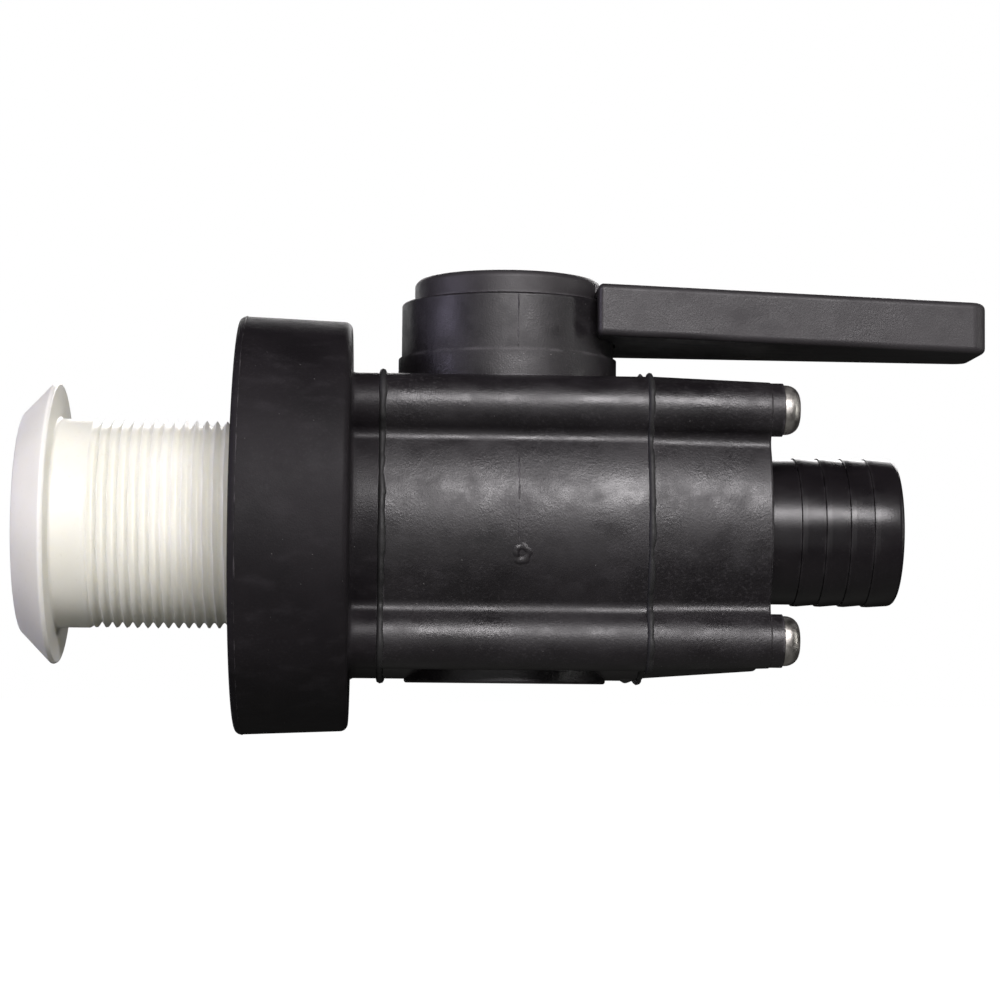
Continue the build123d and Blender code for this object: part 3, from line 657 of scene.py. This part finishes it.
def makeScrewTree():
    # one screw at each corner of an upright square, each turned a little differently
    tree, ins = startTree("screwTree", [
        ("Spacing", "Float", 0.05), ("Screw", "Object", None), ("Twist", "Float", 3.0),
        ("Seed", "Int", 4), ("Material", "Material", None)])
    corners = addNode(tree, "GeometryNodeMeshGrid", {"Vertices X": 2, "Vertices Y": 2}, {
        "Size X": ins["Spacing"], "Size Y": ins["Spacing"]})
    upright = addNode(
        tree, "GeometryNodeTransform", {"Rotation": (0, math.pi / 2, 0)}, {"Geometry": corners.outputs[0]})
    least = mathOf(tree, "MULTIPLY", ins["Twist"], -1.0)
    turn = addNode(
        tree, "FunctionNodeRandomValue", feeds={2: least, 3: ins["Twist"], "Seed": ins["Seed"]})
    turned = addNode(tree, "ShaderNodeCombineXYZ", feeds={0: turn.outputs[1]})
    source = addNode(tree, "GeometryNodeObjectInfo", feeds={"Object": ins["Screw"]})
    copies = addNode(tree, "GeometryNodeInstanceOnPoints", feeds={
        "Points": upright.outputs[0], "Instance": source.outputs["Geometry"], "Rotation": turned.outputs[0]})
    endTree(tree, copies.outputs[0], ins["Material"])
    return tree


screwsMesh = runTree(makeScrewTree(), {
    "Spacing": 2 * screw["offset"] * mm, "Screw": oneScrew, "Twist": screw["twist"], "Seed": screw["seed"],
    "Material": satinSteel})
bpy.data.objects.remove(oneScrew)
finishMesh(screwsMesh, "longBodyScrews", satinSteel, "body_screws", sharp=35)
print("body screws:", len(screwsMesh.polygons), "faces")


# beads that follow a path: flash at the gaskets, parting lines of the moulds

def makeBeadTree():
    # an uneven round bead; its thickness stays between a sliver and 1.8 times the size given
    tree, ins = startTree("beadTree", [
        ("Step", "Float", 0.0006), ("Thickness", "Float", 0.0004), ("Uneven", "Float", 0.4),
        ("Wander", "Float", 0.0001), ("Noise Scale", "Float", 300.0), ("Seed", "Float", 1.0),
        ("Material", "Material", None)])
    line = addNode(tree, "GeometryNodeMeshToCurve", feeds={"Mesh": ins["Geometry"]})
    evenly = addNode(
        tree, "GeometryNodeResampleCurve", feeds={"Curve": line.outputs[0], "Length": ins["Step"]},
        mode="LENGTH")
    where = addNode(tree, "GeometryNodeInputPosition").outputs[0]
    lumps = addNode(
        tree, "ShaderNodeTexNoise", {"Detail": 3.0},
        {"Vector": where, "W": ins["Seed"], "Scale": ins["Noise Scale"]}, noise_dimensions="4D")
    centred = mathOf(tree, "MULTIPLY", mathOf(tree, "SUBTRACT", lumps.outputs[0], 0.5), 2.0)
    swell = mathOf(tree, "ADD", mathOf(tree, "MULTIPLY", centred, ins["Uneven"]), 1.0)
    swell = mathOf(tree, "MINIMUM", mathOf(tree, "MAXIMUM", swell, 0.05), 1.8)
    shift = addNode(
        tree, "ShaderNodeVectorMath", {1: (0.5, 0.5, 0.5)}, {0: lumps.outputs["Color"]},
        operation="SUBTRACT")
    wander = addNode(
        tree, "ShaderNodeVectorMath", feeds={0: shift.outputs[0], "Scale": ins["Wander"]},
        operation="SCALE")
    moved = addNode(
        tree, "GeometryNodeSetPosition", feeds={"Geometry": evenly.outputs[0], "Offset": wander.outputs[0]})
    size = mathOf(tree, "MULTIPLY", swell, ins["Thickness"])
    thick = addNode(tree, "GeometryNodeSetCurveRadius", feeds={"Curve": moved.outputs[0], "Radius": size})
    ring = addNode(tree, "GeometryNodeCurvePrimitiveCircle", {"Resolution": 8, "Radius": 1.0})
    radius = addNode(tree, "GeometryNodeInputRadius")
    tube = addNode(tree, "GeometryNodeCurveToMesh", {"Fill Caps": True}, {
        "Curve": thick.outputs[0], "Profile Curve": ring.outputs[0], "Scale": radius.outputs[0]})
    endTree(tree, tube.outputs[0], ins["Material"])
    return tree


def lobedRadius(away, shape, proud):
    # how far the body's outline is from the water path, by the angle away from a lobe's middle
    core, lobe, valley = shape["core"] + proud, shape["lobe"] + proud, shape["valley"] - proud
    reach = shape["offset"] * math.sqrt(2)
    hollow = core + valley
    swing = math.acos((hollow ** 2 + reach ** 2 - (lobe + valley) ** 2) / (2 * hollow * reach))
    share = lobe / (lobe + valley)
    lobeEnd = math.atan2(hollow * math.sin(swing) * share, reach + (hollow * math.cos(swing) - reach) * share)
    if away >= swing:
        return core
    if away <= lobeEnd:
        return reach * math.cos(away) + math.sqrt(lobe ** 2 - (reach * math.sin(away)) ** 2)
    back = swing - away
    return hollow * math.cos(back) - math.sqrt(valley ** 2 - (hollow * math.sin(back)) ** 2)


def lobedPath(shape, proud, steps=720):
    # the body's outline: a round core with four lobes, as (across, up) points
    points = []
    for step in range(steps):
        angle = 2 * math.pi * step / steps
        away = (angle - math.pi / 4) % (math.pi / 2)
        far = lobedRadius(min(away, math.pi / 2 - away), shape, proud)
        points.append((far * math.cos(angle), far * math.sin(angle)))
    return points


def pathMesh(name, points, closed):
    mesh = bpy.data.meshes.new(name)
    last = len(points) - 1
    edges = [(index, index + 1) for index in range(last)]
    if closed:
        edges.append((last, 0))
    mesh.from_pydata([Vector(point) * mm for point in points], edges, [])
    return mesh


beadTree = makeBeadTree()


def makeBead(name, points, closed, body, material, sizes):
    path = pathMesh(name + "Path", points, closed)
    mesh = runTree(beadTree, dict(sizes, Material=material), path)
    finishMesh(mesh, name, material, body=body, sharp=80)
    print(name + ":", len(mesh.polygons), "faces")


# lengths in metres, as the tree takes them
flashSizes = {"Step": 0.0006, "Thickness": 0.00072, "Uneven": 0.75, "Wander": 0.0007, "Noise Scale": 240.0}
partingSizes = {"Step": 0.0006, "Thickness": 0.00011, "Uneven": 3.0, "Wander": 0.00035, "Noise Scale": 380.0}
bodyShape = {"core": 34.55, "lobe": 6.95, "valley": 2.5, "offset": 25.5}   # millimetres
flashProud = 0.15   # the flash stands this far out from the body, in millimetres
flashes = [("hull_side_gasket", "hullSideFlash", 3.0), ("tail_side_gasket", "tailSideFlash", 11.0)]

loop = lobedPath(bodyShape, flashProud)
for node, name, seed in flashes:
    low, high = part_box(node)
    middle = (low.x + high.x) / 2 / mm
    points = [(middle, across, up) for across, up in loop]
    makeBead(name, points, True, bodyOf[node], blackRubber, dict(flashSizes, Seed=seed))

# parting lines, left where the halves of each mould met
parting = {
    "steps": 24,
    "side": 1.3,           # from the stem's axis to the seam
    "towerRadius": 24.3, "towerLow": 38.9, "towerInset": 0.5,
    "coreFrom": 29.0, "coreTo": -8.0,   # degrees above the middle
    "flangeRadius": 47.52, "flangeX": 1.55, "flangeSteps": 180,
}
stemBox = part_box("stem")
stemX = (stemBox[0].x + stemBox[1].x) / 2 / mm
seamX = stemX + parting["side"]
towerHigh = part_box("ball_housing")[1].z / mm - parting["towerInset"]
towerLine, coreLine, flangeLine = [], [], []
for step in range(parting["steps"] + 1):
    share = step / parting["steps"]
    height = parting["towerLow"] + (towerHigh - parting["towerLow"]) * share
    towerLine.append((seamX, -parting["towerRadius"], height))
    turn = math.radians(parting["coreFrom"] + (parting["coreTo"] - parting["coreFrom"]) * share)
    coreLine.append((seamX, -bodyShape["core"] * math.cos(turn), bodyShape["core"] * math.sin(turn)))
for step in range(parting["flangeSteps"]):
    turn = 2 * math.pi * step / parting["flangeSteps"]
    across, up = parting["flangeRadius"] * math.cos(turn), parting["flangeRadius"] * math.sin(turn)
    flangeLine.append((parting["flangeX"], across, up))
partingLines = [
    ("towerPartingLine", towerLine, False, "ball_housing", blackNylon, 5.0),
    ("corePartingLine", coreLine, False, "ball_housing", blackNylon, 8.0),
    ("flangePartingLine", flangeLine, True, "base_flange", flangeNylon, 2.0),
]
for name, points, closed, node, material, seed in partingLines:
    makeBead(name, points, closed, bodyOf[node], material, dict(partingSizes, Seed=seed))


# marks of the moulds: the gate's stub and small lumps beside a joint, in millimetres

moundShape = {
    "rings": 10,
    "spokes": 28,
    "sunk": 0.4,           # how far the edge goes below the surface
    "edgePower": 4,        # the higher, the later it goes down
    "dimpleWidth": 0.28,   # share of the radius
    "rough": 0.24,
    "roughScale": 800.0,
}
mounds = [
    # name, node, (along, across, up), direction out, radius, rise, dimple
    ("gateStub", "ball_housing", (stemX + 2.1, -33.7, -7.4), (0, -1, -0.22), 3.3, 0.40, 0.5),
    ("upperNib", "ball_housing", (89.2, -25.5, 32.3), (0, 0, 1), 1.0, 0.75, 0.0),
    ("lowerNib", "ball_housing", (88.4, -3.5, -34.3), (0, 0, -1), 2.2, 0.7, 0.0),
]


def mound(name, node, place, out, radius, rise, dimple):
    m = moundShape
    facing = Vector(out).normalized().to_track_quat("Z", "Y")
    work = bmesh.new()
    rows = []
    for ring in range(m["rings"] + 1):
        share = ring / m["rings"]
        crown = rise * (math.cos(share * math.pi) + 1) / 2
        pressed = dimple * math.exp(-(share / m["dimpleWidth"]) ** 2)
        height = crown - pressed - m["sunk"] * share ** m["edgePower"]
        row = []
        for spoke in range(m["spokes"] if ring else 1):
            turn = 2 * math.pi * spoke / m["spokes"]
            flat = Vector((radius * share * math.cos(turn), radius * share * math.sin(turn), height))
            spot = Vector(place) + facing @ flat
            spot += facing @ Vector((0, 0, 1)) * noise.noise(spot * mm * m["roughScale"]) * m["rough"]
            row.append(work.verts.new(spot * mm))
        rows.append(row)
    for inner, outer in zip(rows, rows[1:]):
        for spoke in range(m["spokes"]):
            after = (spoke + 1) % m["spokes"]
            if len(inner) == 1:
                work.faces.new((inner[0], outer[spoke], outer[after]))
            else:
                work.faces.new((inner[spoke], outer[spoke], outer[after], inner[after]))
    work.faces.new(list(reversed(rows[-1])))
    mesh = bpy.data.meshes.new(name)
    work.to_mesh(mesh)
    work.free()
    finishMesh(mesh, name, blackNylon, body=bodyOf[node], sharp=60)


for entry in mounds:
    mound(*entry)
print("mould marks:", len(mounds))


# camera

cameraPlace = {
    "spot": (0.032787, -0.607899, -0.035499),
    "turn": -2.5273,       # degrees, and below 0 is to the right of straight ahead
    "tilt": 3.9530,        # upwards
    "roll": 0.5713,
    "lens": 95.80,
}
turn, tilt, roll = (math.radians(cameraPlace[key]) for key in ("turn", "tilt", "roll"))
ahead = Vector((-math.sin(turn) * math.cos(tilt), math.cos(turn) * math.cos(tilt), math.sin(tilt)))
level = Vector((math.cos(turn), math.sin(turn), 0))
above = level.cross(ahead)
rightward = level * math.cos(roll) + above * math.sin(roll)
upward = above * math.cos(roll) - level * math.sin(roll)
lensData = bpy.data.cameras.new("camera")
lensData.lens = cameraPlace["lens"]
lensData.sensor_width = 36
lensData.clip_start = 0.01
lensData.clip_end = 60
camera = bpy.data.objects.new("camera", lensData)
facing = Matrix((rightward, upward, -ahead)).transposed().to_4x4()
camera.matrix_world = Matrix.Translation(cameraPlace["spot"]) @ facing
scene.collection.objects.link(camera)
scene.camera = camera


# studio: white room, pale floor and soft lights

studio = {
    "floorDrop": 0.14,     # below the object
    "floorReach": 20.0,
    "floorColor": (0.8, 0.8, 0.8, 1),
    "floorRoughness": 0.9,
    "roomColor": (1, 0.985, 0.95, 1),
    "roomLight": 0.015,
    "floorGlow": 0.16,     # soft light that comes back up from the floor
    "glowSpan": (-0.45, -0.85),   # how steeply down it starts, and where it is full
    "backgroundLight": 1.0,
    "lights": [
        # name, degrees round and above the object, distance, width, height, watts, colour
        ("keyLight", 9, 25, 0.95, 0.66, 0.20, 12.0, (1.0, 0.965, 0.985)),
        ("fillLight", -20, -15, 0.95, 1.7, 0.55, 2.0, (1.0, 0.985, 0.985)),
        ("leftLight", -71, 12, 0.85, 0.09, 0.6, 2.4, (0.80, 0.74, 1.0)),
        ("rightLight", 78, 8, 0.9, 0.14, 0.6, 1.4, (1.0, 0.99, 0.97)),
        ("backLight", 172, 24, 0.95, 0.9, 0.25, 5.0, (1.0, 0.98, 0.985)),
        ("rimLight", -150, 4, 0.9, 0.12, 0.5, 0.7, (1.0, 1.0, 1.0)),
    ],
}
lowest, highest = cadBox
centre = (lowest + highest) / 2
for name, around, up, away, width, height, watts, color in studio["lights"]:
    light = bpy.data.lights.new(name, "AREA")
    light.shape = "RECTANGLE"
    light.size, light.size_y = width, height
    light.energy = watts
    light.color = color
    lamp = bpy.data.objects.new(name, light)
    bearing, rise = math.radians(around), math.radians(up)
    toward = Vector((
        math.sin(bearing) * math.cos(rise), -math.cos(bearing) * math.cos(rise), math.sin(rise)))
    lamp.location = centre + toward * away
    lamp.rotation_mode = "QUATERNION"
    lamp.rotation_quaternion = toward.to_track_quat("Z", "Y")
    lamp.visible_camera = False
    scene.collection.objects.link(lamp)

floorMesh = bpy.data.meshes.new("floor")
reach, floorZ = studio["floorReach"], lowest.z - studio["floorDrop"]
floorCorners = [(x * reach, y * reach, floorZ) for x, y in ((-1, -1), (1, -1), (1, 1), (-1, 1))]
floorMesh.from_pydata(floorCorners, [], [(0, 1, 2, 3)])
floor = bpy.data.objects.new("floor", floorMesh)
scene.collection.objects.link(floor)
floorMaterial, tree, shader, place = startMaterial("floorPaper")
shader.inputs["Base Color"].default_value = studio["floorColor"]
shader.inputs["Roughness"].default_value = studio["floorRoughness"]
shader.inputs["Emission Color"].default_value = (1, 1, 1, 1)
shader.inputs["Emission Strength"].default_value = studio["backgroundLight"]
floorMesh.materials.append(floorMaterial)
floor.visible_glossy = False
floor.visible_diffuse = False
floor.visible_shadow = False

world = bpy.data.worlds.new("room")
scene.world = world
world.use_nodes = True
tree = world.node_tree
tree.nodes.clear()
rays = addNode(tree, "ShaderNodeLightPath")
direction = addNode(tree, "ShaderNodeNewGeometry").outputs["Position"]
heading = addNode(tree, "ShaderNodeSeparateXYZ", feeds={0: direction}).outputs["Z"]
strength = between(tree, heading, *studio["glowSpan"], studio["roomLight"], studio["floorGlow"])
room = addNode(tree, "ShaderNodeBackground", {"Color": studio["roomColor"]}, {"Strength": strength})
backdrop = addNode(
    tree, "ShaderNodeBackground", {"Color": (1, 1, 1, 1), "Strength": studio["backgroundLight"]})
both = addNode(tree, "ShaderNodeMixShader", feeds={
    0: rays.outputs["Is Camera Ray"], 1: room.outputs[0], 2: backdrop.outputs[0]})
addNode(tree, "ShaderNodeOutputWorld", feeds={0: both.outputs[0]})
scene.view_settings.view_transform = "Standard"
print("camera, lights and floor ready")
